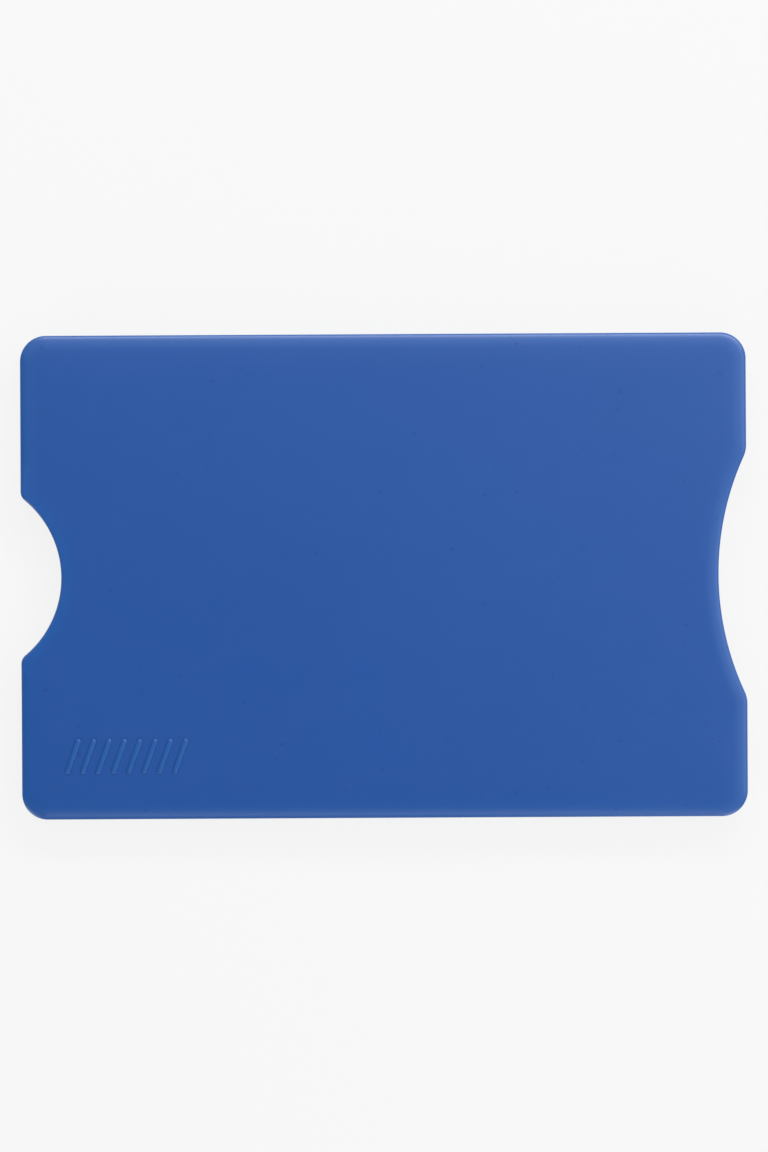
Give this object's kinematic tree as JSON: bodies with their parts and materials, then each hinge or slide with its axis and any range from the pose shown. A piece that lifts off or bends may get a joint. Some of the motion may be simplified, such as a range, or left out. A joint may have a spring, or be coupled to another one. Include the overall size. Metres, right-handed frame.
{
  "type": "card holder",
  "caption": "Rigid plastic sleeve for a bank-size card, open at one short end, with a thumb notch at the other and shielding foil inside both faces.",
  "frame": {"origin": "middle of the rear face, on the plane that the holder lies on", "axes": "+X along the card towards the open mouth, +Y across the card, +Z through the thickness from the rear face to the front face with the grip ribs"},
  "size_m": [0.09, 0.06, 0.0042],
  "materials": {
    "shell_plastic": "satin",
    "shield_foil": "satin",
    "adhesive_film": "matte"
  },
  "bodies": {
    "root": {"front_shell": "shell_plastic", "rear_shell": "shell_plastic", "front_shield_foil": "shield_foil", "rear_shield_foil": "shield_foil", "front_foil_adhesive": "adhesive_film", "rear_foil_adhesive": "adhesive_film"}
  },
  "joints": []
}
